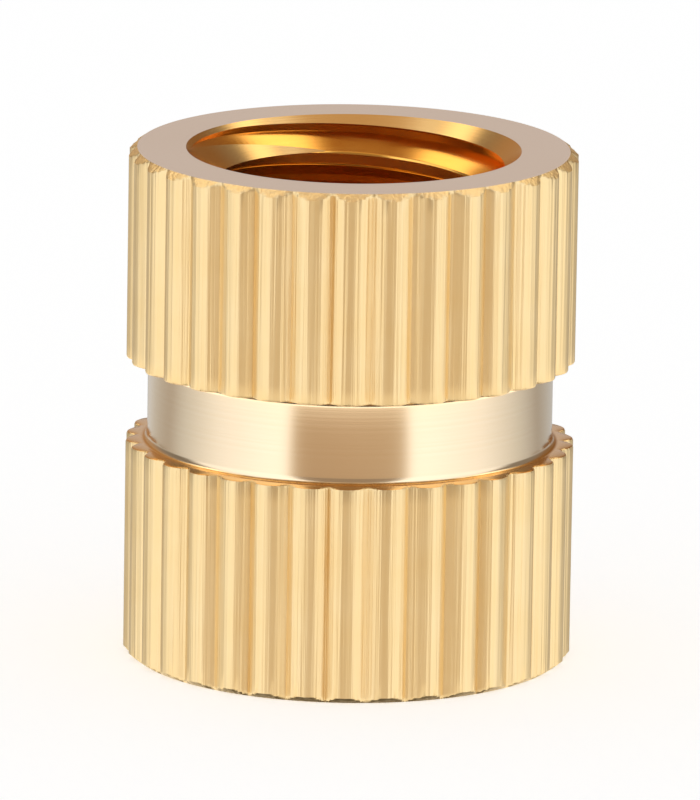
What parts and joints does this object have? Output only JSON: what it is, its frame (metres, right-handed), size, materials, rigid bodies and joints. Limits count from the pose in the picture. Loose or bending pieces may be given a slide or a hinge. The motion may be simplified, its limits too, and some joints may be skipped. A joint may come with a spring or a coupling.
{
  "type": "threaded insert",
  "caption": "Short round insert for plastic parts: a threaded through hole, straight knurling on the outside and a plain groove round the middle that locks it in place.",
  "frame": {"origin": "centre of the lower end face, where it stands", "axes": "+Z along the threaded hole, from the lower end face to the upper one; a knurl ridge points to -Y"},
  "size_m": [0.007, 0.007, 0.008],
  "materials": {
    "brass": "turned and cold-knurled, bright and unplated"
  },
  "bodies": {
    "root": {"threaded_insert": "brass"}
  },
  "joints": []
}
